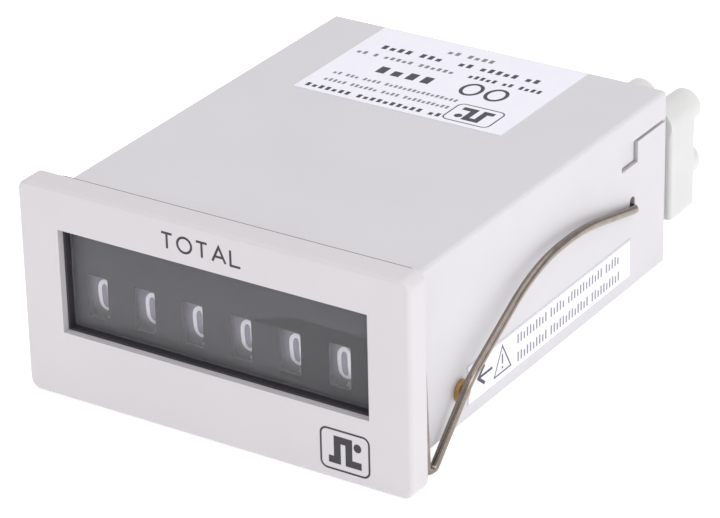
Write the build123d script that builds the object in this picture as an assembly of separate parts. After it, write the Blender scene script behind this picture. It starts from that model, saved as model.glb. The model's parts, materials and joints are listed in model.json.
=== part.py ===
from build123d import *
import math
import os

# Panel-mounted electromechanical impulse counter with six number drums.
# Frame: origin at the centre of the bezel's back rim, which is the face that seats on the panel.
# +X is to the right as the counter is read, +Y runs back through the panel, +Z is up. Millimetres.

os.makedirs("parts", exist_ok=True)

# ---------------------------------------------------------------- driving dimensions

# number drums
drum_count = 6
drum_pitch = 6.9
drum_shift_x = -0.7        # the drum stack sits a little left of the middle
drum_r = 8.0
drum_front_y = 0.0         # foremost line of the drums, level with the panel face
drum_rim_width = 4.4
drum_rim_wall = 0.9
drum_web = 1.2
drum_hub_r = 2.4
shaft_r = 1.0
shaft_end = 0.6            # how far a shaft stands out of the side plates
shaft_chamfer = 0.15
ring_width = 1.0           # retaining rings on the shafts' ends
ring_thickness = 0.4
ring_opening = 0.7         # half the width of a ring's opening
running_gap = 0.04         # radial clearance of a drum or pinion on its shaft
end_float = 0.1            # axial gap between neighbouring hubs
end_spacer = 1.2           # room between the drum stack and each side plate

# sheet steel frame, housing sleeve and rear cover
sheet = 0.7
frame_side_gap = 0.75      # side plate to housing
frame_floor_gap = 0.2      # frame to the housing's floor
frame_front_y = 0.8        # front ends of the side plates
frame_to_ceiling = 1.1     # side plates to the housing's ceiling
base_behind_drums = 2.0    # the frame's base starts this far behind the drums
side_opening = [-6.0, 10.0, -4.0, 5.0]   # lightening hole in each side plate, about the coil: y and z
drum_to_ceiling = 2.5      # drum to the housing's inside, above and below
wall = 1.5
edge_round = 0.5
rear_space = 9.9           # wiring room behind the frame, cover included
cover_thickness = 1.8
fit_gap = 0.1              # clearance of a moulding that plugs into another

# front bezel
flange_side = 2.65         # how far the bezel overhangs the housing at each side
flange_top = 2.1           # and above and below
bezel_thickness = 3.4
bezel_corner_r = 1.4
bezel_front_round = 0.5
bezel_rim = 0.8            # raised rim on the back that seats on the panel
bezel_relief = 0.4         # depth of the hollow inside that rim
spigot_wall = 1.2
spigot_depth = 4.0
spigot_root = 0.6          # how deep the spigots stand in the bezel
spigot_from_side = 3.0     # the spigots' ends to the housing's inner side
aperture_margin = 1.1      # from the drum stack to each side of the aperture
aperture_height = 13.75
aperture_centre_z = 1.83
aperture_lip = 1.0         # depth of the white lip in front of the black mask

# black mask and lens
mask_overlap = 0.8         # how far the mask tray reaches behind the lip
mask_depth = 1.5
mask_floor = 0.3
mask_rim_show = 0.3        # width of the mask's rim that shows inside the lip
lens_thickness = 0.5
lens_chamfer = 0.1
window_width = 2.96
window_height = 5.6
window_centre_z = -0.33

# latch windows in both side walls, with their distances from the housing's rear end
latch_front = 11.3
latch_rear = 7.2
latch_low_z = 5.1
latch_high_z = 8.4
latch_gap = 0.3
slit_height = 0.5
finger_thickness = 0.5
barb_recess = 0.45         # how far the snap barb stays below the wall's outer face
rib_low_z = -8.0           # ribs of the cover that press on the frame
rib_high_z = -3.0

# carry gearing between the drums
gear_teeth = 20
pinion_teeth = 8
gear_rim_step = 1.0        # the gears' pitch circle lies this far inside the drum's rim
gear_width = 1.0
finger_width = 0.7         # carry finger, along the axle
finger_half = 0.5          # half its width round the drum
finger_below_rim = 0.6     # its tip inside the drum's rim
disc_below_root = 0.3      # the disc that carries it, inside the gear's root circle
pinion_side_gap = 0.1
centre_slack = 0.05
pinion_hub_r = 1.6

# ratchet wheel and the fork that drives it
ratchet_teeth = 10
ratchet_step = 2.8         # the ratchet's tips lie this far inside the drum's rim
ratchet_depth = 1.2
ratchet_width = 0.9
fork_width = 0.8
fork_side_gap = 0.12
fork_clear = 0.25          # pallets stay this far outside the ratchet's tips
fork_thickness = 1.2       # the fork's upper bar stands this far above the armature
fork_window_gap = 0.4      # ratchet's tips to the fork's stem
fork_hub_gap = 0.85        # fork's stem to the pinions' hubs
fork_pad = 3.0             # pad under the rivets, from the fork's middle
fork_pad_inset = 0.2
pallet_half = 0.7
pallet_slope = 0.6
pallet_depth = 1.6         # the fork's foot below its lower pallet

# magnet
coil_x = 9.0
coil_behind_pinions = 18.15
yoke_sheet = 1.6
yoke_half_width = 6.0
yoke_front_margin = 3.6
core_r = 2.5
core_foot_r = 1.5
bobbin_half = 7.5
bobbin_flange = 0.8
bobbin_tube = 0.7
bobbin_corner_r = 1.0
winding_r = 7.0
pole_to_ceiling = 4.2
pole_above_bobbin = 0.3
armature_gap = 0.7
armature_thickness = 1.2
armature_inset = 0.5       # the armature is this much narrower than the bobbin at each side
armature_overhang = 2.5    # it reaches this far in front of the bobbin
armature_arm = 4.6         # width of its cross arm
armature_neck = 1.0        # the narrow neck starts this far in front of the ears
armature_ear_gap = 0.4     # between the wide plate and the ears
hinge_behind_bobbin = 2.9
hinge_pin_r = 0.6
hinge_pin_end = 0.3        # how far the pin stands out of the ears
hinge_pin_chamfer = 0.1
hinge_barrel_r = 1.2
hinge_gap = 0.05
ear_thickness = 1.2
ear_half = 1.4
ear_gap = 0.15             # hinge barrel to each ear
ear_root = 2.6             # the ears start this far below the hinge pin
yoke_below_barrel = 0.2
armature_travel_deg = 2.8
frame_behind_hinge = 5.6
base_screw_r = 1.0         # yoke screws and board pillars
base_screw_edge = 0.7      # metal left between a yoke screw's hole and the yoke's front edge
base_screw_rim = 0.7       # how far their heads and shoulders overlap the hole
yoke_screw_spread = 4.0    # each yoke screw to the coil's axis
yoke_screw_head = 0.9
rivet_r = 0.5
rivet_head_r = 0.9
rivet_head = 0.4
rivet_from_fork = 1.8      # rivets to the fork's middle
rivet_from_edge = 1.1      # rivets to the cross arm's edges

# return spring
spring_side = 1.3          # spring axis, inwards from the fork's outer face
spring_from_edge = 2.4     # and behind the armature's front edge
spring_post_rim = 0.3      # the post's shoulder is this much wider than the spring
spring_post_gap = 0.2      # the post's tip to the spring's wire
spring_post_tip = 3.0      # length of that tip
spring_r = 1.5
spring_wire = 0.35
spring_foot_z = -3.0
spring_turns = 8

# wire clip that holds the counter in the panel
wire_r = 0.55
clip_hole = 8.5            # hole to the housing's rear end
clip_hole_z = -0.7
clip_hole_gap = 0.08
clip_slot_rise = 0.9       # the hole is a slot, open this far above the wire
clip_hook = 2.95           # length of the hook inside the wall's outer face
clip_side_gap = 0.05       # between the wire and the wall at the hole
clip_crest_z = 2.9         # highest stretch of the arms
clip_crest_fall = 0.05     # how much it falls to the front
clip_crest_from_hole = 14.9
clip_before_pin = 0.77     # the arm turns down this far in front of the locking pin's axis
clip_pin_gap = 0.33        # between the wire and the pin's head
clip_foot_y = 2.9          # tight turn below the housing
clip_foot_drop = 3.4       # that turn's depth below the housing
clip_bar_from_rim = 1.06   # between the crossbar and the bezel's back rim
clip_bar_gap = 0.05        # between the crossbar and the housing's top
clip_bows = [0.50, 0.80, 1.25, 0.10]            # how far the arms stand out, from the crest to the foot
clip_bends = [0.7, 40.0, 26.0, 5.0, 0.9, 1.2]   # bend radii from the hook to the crossbar

# transport locking pin
pin_behind_axis = 3.65
pin_z = -7.2
pin_head_r = 1.45
pin_head_thickness = 0.75
pin_r = 0.8
pin_fit = 0.05
pin_head_chamfer = 0.15
pin_inside_plate = 0.7     # how far the tip stands inside the side plate

# terminal block
pole_from_side = 3.25      # nearer pole's axis, in from the housing's right side
pole_pitch = 6.4
pole_half_width = 2.35
collar_r = 2.3
upper_screw_z = 5.05
lower_screw_z = -2.4
block_bottom_z = -7.8
plinth_depth = 3.5
plinth_top_step = 0.3      # the plinth ends this far below the collars' top
plinth_low_step = 0.6      # and this far above the block's lower end
plinth_side_step = 0.9     # and this far inside its sides
plinth_round = 0.6
block_depth = 6.5
collar_height = 1.5
barrel_r = 1.9
barrel_bore_r = 1.2
barrel_y_offset = 2.9      # barrel axis behind the block's front face
mouth_r = 1.5
mouth_depth = 1.7
barrel_top_z = 6.0
barrel_cap = 0.8           # closed end of a barrel above its bore
screw_r = 1.0
screw_head_r = 1.5
screw_head_height = 1.2
screw_head_gap = 0.35      # between a screw's head and its barrel
slot_width = 0.45
slot_depth = 0.5
web_depth = 3.2            # web between the poles
web_below = 1.5            # its lower end below the lower screws
web_inset = 0.8            # its upper end below the upper screws
pole_round = 0.5
tail_r = 0.6               # brass tails of the barrels, which enter the housing
tail_z = 0.7
tail_reach = 5.4
strip_screw_r = 0.7        # screw between the two poles
strip_screw_head_r = 1.2
strip_screw_head = 0.9
strip_screw_tip = 0.6      # its tip to the cover's inner face

# stickers
sticker = 0.1
rating_width = 30.5
rating_length = 21.8
rating_from_rear = 0.3
rating_centre_x = -1.45
side_label_low_z = -10.2
side_label_high_z = -4.8
side_label_from_pin = 0.15
side_label_from_latch = 1.65

# rectifier board
board_z = -7.0
board_thickness = 1.0
board_side_gap = 1.9
board_coil_gap = 3.1
board_behind_base = 7.0    # board's front edge behind the base plate's
board_length = 25.0
pillar_inset = 2.2
pillar_head = 0.8
rectifier_place = [4.5, 8.0]       # from the board's left edge and its rear edge
rectifier_size = [6.5, 5.0, 3.5]
rectifier_leg = 0.5
rectifier_legs = [0.9, 1.2]        # leg axes, in from the body's corners
capacitor_place = [5.8, 8.0]       # from the board's left edge and its front edge
capacitor_r = 4.0
capacitor_height = 11.0
capacitor_round = 0.8
resistor_place = [3.6, 9.0, 2.6]   # from the board's right edge, its front edge and its top
resistor_r = 1.8
resistor_half = 4.5
resistor_round = 0.6
resistor_leg_r = 0.3
resistor_leg_at = 6.1              # bent legs to the resistor's middle
coil_lead_r = 0.35
coil_lead_z = 2.5
coil_lead_from_coil = [-4.0, 1.5]  # where the two leads leave the winding, along Y
coil_lead_bend = 1.5
lead_pad = 1.4                     # leads end this far inside the board's edges
supply_lead_r = 0.5
supply_lead_bend = 1.2
supply_lead_runs = [(3.9, 4.8), (1.9, 6.6)]   # cross run in front of the tail, end inside the board's edge

# ---------------------------------------------------------------- sizes worked out from those

drum_stack = drum_count * drum_pitch
plate_inner = drum_stack / 2 + end_spacer
frame_half_width = plate_inner + sheet
inner_w = frame_half_width + frame_side_gap
half_w = inner_w + wall
inner_h = drum_r + drum_to_ceiling
half_h = inner_h + wall
bezel_width = 2 * (half_w + flange_side)
bezel_height = 2 * (half_h + flange_top)
aperture_width = drum_stack + 2 * aperture_margin

gear_pitch_r = drum_r - gear_rim_step
gear_module = 2 * gear_pitch_r / gear_teeth
gear_root_r = gear_pitch_r - 1.15 * gear_module
pinion_pitch_r = gear_module * pinion_teeth / 2
drum_axis_y = drum_r + drum_front_y
pinion_axis_y = drum_axis_y + gear_pitch_r + pinion_pitch_r + centre_slack
hub_half = (drum_pitch - end_float) / 2
drum_x = [(drum_count / 2 - 0.5 - k) * drum_pitch + drum_shift_x for k in range(drum_count)]
drum_gap = drum_pitch - drum_rim_width
pinion_width = drum_gap - finger_width - 2 * pinion_side_gap
transfer_disc_r = gear_root_r - disc_below_root
carry_finger_r = drum_r - finger_below_rim
ratchet_tip_r = drum_r - ratchet_step
ratchet_root_r = ratchet_tip_r - ratchet_depth
ratchet_x = drum_x[0] + drum_rim_width / 2
fork_x = ratchet_x + fork_side_gap + fork_width / 2

coil_y = pinion_axis_y + coil_behind_pinions
hinge_y = coil_y + bobbin_half + hinge_behind_bobbin
frame_rear_y = hinge_y + frame_behind_hinge
frame_bottom_z = -inner_h + frame_floor_gap
frame_top_z = inner_h - frame_to_ceiling
base_front_y = drum_axis_y + drum_r + base_behind_drums
base_top_z = frame_bottom_z + sheet
yoke_top_z = base_top_z + yoke_sheet
yoke_front_y = coil_y - bobbin_half - yoke_front_margin
yoke_rear_y = hinge_y + yoke_sheet / 2
yoke_screw_y = yoke_front_y + base_screw_r + base_screw_edge
pole_z = inner_h - pole_to_ceiling
bobbin_top_z = pole_z - pole_above_bobbin
armature_low_z = pole_z + armature_gap
armature_top_z = armature_low_z + armature_thickness
hinge_z = armature_low_z + armature_thickness / 2
fork_drop = (hinge_y - drum_axis_y) * math.sin(math.radians(armature_travel_deg))
fork_top_z = armature_top_z + fork_thickness
armature_front_y = coil_y - bobbin_half - armature_overhang
armature_arm_y = armature_front_y + armature_arm
spring_x = fork_x + fork_width / 2 - spring_side
spring_y = armature_front_y + spring_from_edge
rivet_x = fork_x - rivet_from_fork
rivet_places = [(rivet_x, armature_front_y + rivet_from_edge), (rivet_x, armature_arm_y - rivet_from_edge)]

body_depth = frame_rear_y + rear_space
latch_front_y = body_depth - latch_front
latch_rear_y = body_depth - latch_rear
clip_hole_y = body_depth - clip_hole
pin_y = drum_axis_y + pin_behind_axis
block_y = body_depth + plinth_depth
block_back_y = block_y + block_depth
barrel_y = block_y + barrel_y_offset
tail_front_y = body_depth - tail_reach
pole_x = half_w - pole_from_side
pole_xs = [pole_x, pole_x - pole_pitch]
strip_screw_x = pole_x - pole_pitch / 2
strip_screw_z = (upper_screw_z + lower_screw_z) / 2

board_x0 = -plate_inner + board_side_gap
board_x1 = coil_x - bobbin_half - board_coil_gap
board_y0 = base_front_y + board_behind_base
board_y1 = board_y0 + board_length
board_top_z = board_z + board_thickness
yoke_screw_places = [(coil_x + side * yoke_screw_spread, yoke_screw_y) for side in (-1, 1)]
pillar_places = [(x, y) for x in (board_x0 + pillar_inset, board_x1 - pillar_inset)
                 for y in (board_y0 + pillar_inset, board_y1 - pillar_inset)]

drum_names = ["units_drum", "tens_drum", "hundreds_drum", "thousands_drum",
              "ten_thousands_drum", "hundred_thousands_drum"]


# ---------------------------------------------------------------- helpers

def block(x0, x1, y0, y1, z0, z1):
    """A box between two corners."""
    centre = Pos((x0 + x1) / 2, (y0 + y1) / 2, (z0 + z1) / 2)
    return centre * Box(x1 - x0, y1 - y0, z1 - z0)


def rod_x(r, x0, x1, y, z):
    """A cylinder along X."""
    return Pos((x0 + x1) / 2, y, z) * Rot(0, 90, 0) * Cylinder(r, x1 - x0)


def rod_y(r, y0, y1, x, z):
    """A cylinder along Y."""
    return Pos(x, (y0 + y1) / 2, z) * Rot(90, 0, 0) * Cylinder(r, y1 - y0)


def rod_z(r, z0, z1, x, y):
    """A cylinder along Z."""
    return Pos(x, y, (z0 + z1) / 2) * Cylinder(r, z1 - z0)


def plate_yz(points, x0, x1):
    """A flat plate in the YZ plane, from an outline of (y, z) points."""
    outline = Polyline(*[(0, y, z) for y, z in points], close=True)
    return Pos(x0, 0, 0) * extrude(make_face(outline), amount=x1 - x0, dir=(1, 0, 0))


def save(name, shape):
    """Write one node: a single solid as it is, several as a compound."""
    solids = shape.solids()
    export_step(solids[0] if len(solids) == 1 else Compound(children=list(solids)), f"parts/{name}.step")
    print(f"{name}: {len(solids)} solid(s), {sum(s.volume for s in solids):.1f} mm3")


def group(shapes):
    """Separate solids that share one node."""
    return Compound(children=[s for shape in shapes for s in shape.solids()])


def involute_gear(teeth, x0, x1, y, z, turn=0.0):
    """A spur gear about an axis along X, cut to stubby proportions with backlash for easy running."""
    pitch_r = gear_module * teeth / 2
    tip_r = pitch_r + 0.75 * gear_module
    root_r = pitch_r - 1.15 * gear_module
    base_r = pitch_r * math.cos(math.radians(20))
    backlash = 0.14

    def roll(r):
        """Involute angle at radius r."""
        a = math.acos(min(1.0, base_r / r))
        return math.tan(a) - a

    half_at_pitch = math.pi / (2 * teeth) - backlash / (2 * pitch_r)
    points = []
    for tooth in range(teeth):
        middle = 2 * math.pi * tooth / teeth + math.radians(turn)
        flank = [root_r] + [max(root_r, base_r) + (tip_r - max(root_r, base_r)) * i / 4 for i in range(5)]
        halves = [half_at_pitch + roll(pitch_r) - roll(max(r, base_r)) for r in flank]
        for r, half in zip(flank, halves):
            points.append((y + r * math.cos(middle - half), z + r * math.sin(middle - half)))
        for r, half in zip(reversed(flank), reversed(halves)):
            points.append((y + r * math.cos(middle + half), z + r * math.sin(middle + half)))
    clean = [p for i, p in enumerate(points) if math.dist(p, points[i - 1]) > 1e-4]
    return plate_yz(clean, x0, x1)


# ---------------------------------------------------------------- front

def make_bezel():
    """White front frame with the window opening, a hollow back and two spigots that enter the housing."""
    slab = block(-bezel_width / 2, bezel_width / 2, -bezel_thickness, 0, -bezel_height / 2, bezel_height / 2)
    slab = fillet(slab.edges().filter_by(Axis.Y), bezel_corner_r)
    slab = fillet(slab.faces().sort_by(Axis.Y)[0].edges(), bezel_front_round)
    relief_w = bezel_width / 2 - bezel_rim
    relief_h = bezel_height / 2 - bezel_rim
    slab -= block(-relief_w, relief_w, -bezel_relief, 1, -relief_h, relief_h)
    low_z = aperture_centre_z - aperture_height / 2
    high_z = aperture_centre_z + aperture_height / 2
    slab -= block(-aperture_width / 2, aperture_width / 2, -bezel_thickness - 1, 1, low_z, high_z)
    seat = mask_overlap + fit_gap
    slab -= block(-aperture_width / 2 - seat, aperture_width / 2 + seat,
                  aperture_lip - bezel_thickness, 1, low_z - seat, high_z + seat)
    spigot_half = inner_w - spigot_from_side
    outer = inner_h - fit_gap
    for side in (1, -1):
        rib = sorted((side * (outer - spigot_wall), side * outer))
        # the ribs clear the mask's seat, which reaches higher than it reaches low
        slab += block(-spigot_half, spigot_half, -bezel_relief - spigot_root, spigot_depth, *rib)
    slab -= block(-aperture_width / 2 - seat, aperture_width / 2 + seat,
                  aperture_lip - bezel_thickness, -bezel_relief, low_z - seat, high_z + seat)
    return slab


def make_mask():
    """Black tray behind the lip, with one window for each drum."""
    front = aperture_lip - bezel_thickness
    half_x = aperture_width / 2 + mask_overlap
    low_z = aperture_centre_z - aperture_height / 2 - mask_overlap
    high_z = aperture_centre_z + aperture_height / 2 + mask_overlap
    tray = block(-half_x, half_x, front, front + mask_depth, low_z, high_z)
    show = mask_overlap + mask_rim_show
    tray -= block(-half_x + show, half_x - show, front - 1, front + mask_depth - mask_floor,
                  low_z + show, high_z - show)
    for x in drum_x:
        tray -= block(x - window_width / 2, x + window_width / 2, front, 1,
                      window_centre_z - window_height / 2, window_centre_z + window_height / 2)
    return tray


def make_lens():
    """Clear acrylic pane that lies on the mask's floor."""
    back = aperture_lip - bezel_thickness + mask_depth - mask_floor
    half_x = aperture_width / 2 - mask_rim_show - fit_gap
    half_z = aperture_height / 2 - mask_rim_show - fit_gap
    pane = block(-half_x, half_x, back - lens_thickness, back,
                 aperture_centre_z - half_z, aperture_centre_z + half_z)
    return chamfer(pane.faces().sort_by(Axis.Y)[0].edges(), lens_chamfer)


# ---------------------------------------------------------------- housing and rear cover

def make_housing():
    """Rectangular sleeve with the clip holes, the pin hole and the latch windows."""
    sleeve = block(-half_w, half_w, -bezel_relief, body_depth, -half_h, half_h)
    sleeve = fillet(sleeve.edges().filter_by(Axis.Y), edge_round)
    sleeve -= block(-inner_w, inner_w, -2, body_depth + 1, -inner_h, inner_h)
    slot_r = wire_r + clip_hole_gap
    slot_top_z = clip_hole_z + clip_slot_rise
    for z in (clip_hole_z, slot_top_z):
        sleeve -= rod_x(slot_r, -half_w - 1, half_w + 1, clip_hole_y, z)
    sleeve -= block(-half_w - 1, half_w + 1, clip_hole_y - slot_r, clip_hole_y + slot_r,
                    clip_hole_z, slot_top_z)
    sleeve -= rod_x(pin_r + pin_fit, 0, half_w + 1, pin_y, pin_z)
    for side in (1, -1):
        x0, x1 = sorted((side * (inner_w - 1), side * (half_w + 1)))
        sleeve -= block(x0, x1, latch_front_y, latch_rear_y, latch_low_z, latch_high_z)
        sleeve -= block(x0, x1, latch_rear_y - 0.1, body_depth + 1, latch_high_z - slit_height, latch_high_z)
    return sleeve


def make_rear_cover():
    """Cover that plugs the sleeve, with two snap fingers, two ribs that hold the frame, and the plinth."""
    half_x = inner_w - fit_gap
    half_z = inner_h - fit_gap
    front = body_depth - cover_thickness
    cover = block(-half_x, half_x, front, body_depth, -half_z, half_z)
    low = latch_low_z + latch_gap
    high = latch_high_z - latch_gap
    for side in (1, -1):
        finger = sorted((side * (half_x - finger_thickness), side * half_x))
        barb = sorted((side * (half_x - finger_thickness), side * (half_w - barb_recess)))
        rib = sorted((side * plate_inner, side * frame_half_width))
        cover += block(*finger, latch_front_y + latch_gap, front + 0.2, low, high)
        cover += block(*barb, latch_front_y + latch_gap, latch_rear_y - latch_gap, low, high)
        cover += block(*rib, frame_rear_y, front + 0.2, rib_low_z, rib_high_z)
    right = pole_x + pole_half_width - plinth_side_step
    left = pole_x - pole_pitch - pole_half_width + plinth_side_step
    plinth_top = upper_screw_z + collar_r - plinth_top_step
    plinth = block(left, right, front, block_y, block_bottom_z + plinth_low_step, plinth_top)
    cover += fillet(plinth.edges().filter_by(Axis.Y), plinth_round)
    for x in pole_xs:
        cover -= rod_y(tail_r + fit_gap / 2, front - 1, block_y + 1, x, tail_z)
    cover -= rod_y(strip_screw_r, front + strip_screw_tip, block_y + 1, strip_screw_x, strip_screw_z)
    return cover


def make_terminal_block():
    """Two-pole nylon terminal strip: rounded poles with a collar round each screw."""
    strip = block(pole_xs[1], pole_xs[0], block_y, block_y + web_depth,
                  lower_screw_z - web_below, upper_screw_z - web_inset)
    for x in pole_xs:
        pole = block(x - pole_half_width, x + pole_half_width, block_y, block_back_y,
                     block_bottom_z, upper_screw_z)
        pole = fillet(pole.edges().filter_by(Axis.Z), pole_round)
        strip += pole
        strip += rod_y(pole_half_width, block_y, block_back_y, x, upper_screw_z)
        for z in (upper_screw_z, lower_screw_z):
            strip += rod_y(collar_r, block_back_y - 0.5, block_back_y + collar_height, x, z)
    for x in pole_xs:
        strip -= rod_z(barrel_r, block_bottom_z + mouth_depth, barrel_top_z, x, barrel_y)
        strip -= rod_z(mouth_r, block_bottom_z - 1, block_bottom_z + mouth_depth + 0.1, x, barrel_y)
        strip -= rod_y(tail_r, block_y - 1, barrel_y, x, tail_z)
        for z in (upper_screw_z, lower_screw_z):
            strip -= rod_y(screw_head_r + fit_gap, barrel_y, block_back_y + collar_height + 1, x, z)
    strip -= rod_y(strip_screw_r, block_y - 1, block_y + web_depth + 1, strip_screw_x, strip_screw_z)
    strip -= rod_y(strip_screw_head_r + fit_gap / 2, block_y + web_depth, block_back_y + 1,
                   strip_screw_x, strip_screw_z)
    return strip


def make_terminal_barrels():
    """Brass wire clamps with a round tail that carries the current into the housing."""
    barrels = []
    for x in pole_xs:
        barrel = rod_z(barrel_r, block_bottom_z + mouth_depth, barrel_top_z, x, barrel_y)
        barrel += rod_y(tail_r, tail_front_y, barrel_y, x, tail_z)
        barrel -= rod_z(barrel_bore_r, block_bottom_z, barrel_top_z - barrel_cap, x, barrel_y)
        for z in (upper_screw_z, lower_screw_z):
            barrel -= rod_y(screw_r, barrel_y, barrel_y + 3, x, z)
        barrels.append(barrel)
    return group(barrels)


def slotted_screw(r, head_r, head_height, y_tip, y_seat, x, z):
    """Cheese-head screw along Y, head towards +Y."""
    screw = rod_y(r, y_tip, y_seat, x, z)
    screw += rod_y(head_r, y_seat, y_seat + head_height, x, z)
    screw -= block(x - slot_width / 2, x + slot_width / 2, y_seat + head_height - slot_depth,
                   y_seat + head_height + 1, z - head_r - 1, z + head_r + 1)
    return screw


def make_terminal_screws():
    """Four clamp screws, each in its collar."""
    tip = barrel_y + barrel_bore_r
    seat = barrel_y + barrel_r + screw_head_gap
    screws = []
    for x in pole_xs:
        for z in (upper_screw_z, lower_screw_z):
            screws.append(slotted_screw(screw_r, screw_head_r, screw_head_height, tip, seat, x, z))
    return group(screws)


def make_fixing_screw():
    """Screw that holds the terminal strip on the cover's plinth."""
    tip = body_depth - cover_thickness + strip_screw_tip
    return slotted_screw(strip_screw_r, strip_screw_head_r, strip_screw_head, tip,
                         block_y + web_depth, strip_screw_x, strip_screw_z)


# ---------------------------------------------------------------- clip and pin

def make_spring_clip():
    """One bent wire: hooks in the side holes, bowed arms, tight turns below and a bar across the top."""
    arm_x = half_w + clip_side_gap + wire_r
    rear_bow, middle_bow, pin_bow, foot_bow = clip_bows
    # the wire passes the locking pin's head, so that the pin can be drawn out past it
    pin_side_z = pin_z + pin_head_r + wire_r + clip_pin_gap
    right = [
        (half_w - clip_hook, clip_hole_y, clip_hole_z),
        (arm_x, clip_hole_y, clip_hole_z),
        (arm_x + rear_bow, clip_hole_y - clip_crest_from_hole, clip_crest_z),
        (arm_x + middle_bow, clip_hole_y / 2, clip_crest_z - clip_crest_fall),
        (arm_x + pin_bow, pin_y - clip_before_pin, pin_side_z),
        (arm_x + foot_bow, clip_foot_y, -half_h - clip_foot_drop),
        (arm_x, wire_r + clip_bar_from_rim, half_h + clip_bar_gap + wire_r),
    ]
    left = [(-x, y, z) for x, y, z in reversed(right)]
    path = FilletPolyline(*right, *left, radius=clip_bends + clip_bends[::-1])
    start = Plane(origin=right[0], z_dir=(1, 0, 0))
    return sweep(start * Circle(wire_r), path=path)


def make_locking_pin():
    """Brass pin that locks the drive for transport; its tip is short of the fork."""
    pin = rod_x(pin_r, plate_inner - pin_inside_plate, half_w + pin_head_thickness / 2, pin_y, pin_z)
    head = rod_x(pin_head_r, half_w, half_w + pin_head_thickness, pin_y, pin_z)
    return pin + chamfer(head.faces().sort_by(Axis.X)[-1].edges(), pin_head_chamfer)


def make_rating_label():
    """Sticker on the top face, up to the rear end."""
    rear = body_depth - rating_from_rear
    return block(rating_centre_x - rating_width / 2, rating_centre_x + rating_width / 2,
                 rear - rating_length, rear, half_h, half_h + sticker)


def make_side_label():
    """Sticker on the right side, behind the locking pin."""
    front = pin_y + pin_head_r + side_label_from_pin
    rear = latch_rear_y - side_label_from_latch
    return block(half_w, half_w + sticker, front, rear, side_label_low_z, side_label_high_z)


# ---------------------------------------------------------------- drums and carry

def make_frame():
    """Folded sheet channel that carries the shafts in front and the magnet behind."""
    channel = block(-frame_half_width, frame_half_width, base_front_y, frame_rear_y,
                    frame_bottom_z, base_top_z)
    for side in (1, -1):
        plate = sorted((side * plate_inner, side * frame_half_width))
        channel += block(*plate, frame_front_y, frame_rear_y, frame_bottom_z, frame_top_z)
        channel -= block(plate[0] - 1, plate[1] + 1, coil_y + side_opening[0], coil_y + side_opening[1],
                         side_opening[2], side_opening[3])
    for y in (drum_axis_y, pinion_axis_y):
        channel -= rod_x(shaft_r, -half_w, half_w, y, 0)
    channel -= rod_x(pin_r + pin_fit, plate_inner - 1, half_w, pin_y, pin_z)
    for x, y in yoke_screw_places + pillar_places:
        channel -= rod_z(base_screw_r, frame_bottom_z - 1, base_top_z + 1, x, y)
    return channel


def make_drum(k):
    """Number drum: rim, web and hub, a gear on its right side and a carry finger on its left."""
    x = drum_x[k]
    half = drum_rim_width / 2
    drum = rod_x(drum_r, x - half, x + half, drum_axis_y, 0)
    drum -= rod_x(drum_r - drum_rim_wall, x - half - 1, x + half + 1, drum_axis_y, 0)
    drum += rod_x(drum_r - drum_rim_wall / 2, x - drum_web / 2, x + drum_web / 2, drum_axis_y, 0)
    drum += rod_x(drum_hub_r, x - hub_half, x + hub_half, drum_axis_y, 0)
    if k > 0:
        drum += involute_gear(gear_teeth, x + half, x + half + gear_width, drum_axis_y, 0)
        drum += rod_x(gear_root_r, x, x + half + 0.1, drum_axis_y, 0)
    if k < drum_count - 1:
        drum += rod_x(transfer_disc_r, x - half - finger_width, x, drum_axis_y, 0)
        drum += block(x - half - finger_width, x - half, drum_axis_y - finger_half, drum_axis_y + finger_half,
                      0, carry_finger_r)
    return drum - rod_x(shaft_r + running_gap, x - drum_pitch, x + drum_pitch, drum_axis_y, 0)


def make_ratchet_wheel():
    """Ten-tooth wheel on the units drum that the fork steps round."""
    points = []
    for tooth in range(ratchet_teeth):
        a = 2 * math.pi * tooth / ratchet_teeth
        b = a + 2 * math.pi / ratchet_teeth * 0.82
        points.append((drum_axis_y + ratchet_tip_r * math.cos(a), ratchet_tip_r * math.sin(a)))
        points.append((drum_axis_y + ratchet_root_r * math.cos(b), ratchet_root_r * math.sin(b)))
    wheel = plate_yz(points, ratchet_x, ratchet_x + ratchet_width)
    return wheel - rod_x(drum_hub_r, ratchet_x - 1, ratchet_x + 2, drum_axis_y, 0)


def make_pinion(g):
    """Carry pinion in the gap behind drum g, with a long hub that spaces it on its shaft."""
    x = (drum_x[g] + drum_x[g + 1]) / 2
    face = drum_x[g + 1] + drum_rim_width / 2
    # the gear has a tooth towards the pinion, so the pinion shows it a gap
    start = face + pinion_side_gap
    half_tooth = 180 / pinion_teeth
    pinion = involute_gear(pinion_teeth, start, start + pinion_width, pinion_axis_y, 0, turn=half_tooth)
    pinion += rod_x(pinion_hub_r, x - hub_half, x + hub_half, pinion_axis_y, 0)
    return pinion - rod_x(shaft_r + running_gap, x - drum_pitch, x + drum_pitch, pinion_axis_y, 0)


def make_shaft(y):
    """Plain steel shaft through both side plates."""
    end = frame_half_width + shaft_end
    return chamfer(rod_x(shaft_r, -end, end, y, 0).edges(), shaft_chamfer)


def make_shaft_clips():
    """Four retaining rings outside the side plates."""
    clips = []
    for side in (1, -1):
        x0, x1 = sorted((side * frame_half_width, side * (frame_half_width + ring_thickness)))
        for y in (drum_axis_y, pinion_axis_y):
            ring = rod_x(shaft_r + ring_width, x0, x1, y, 0) - rod_x(shaft_r, x0 - 1, x1 + 1, y, 0)
            opening = block(x0 - 1, x1 + 1, y - ring_opening, y + ring_opening, -shaft_r - ring_width - 1, 0)
            clips.append(ring - opening)
    return group(clips)


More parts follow.
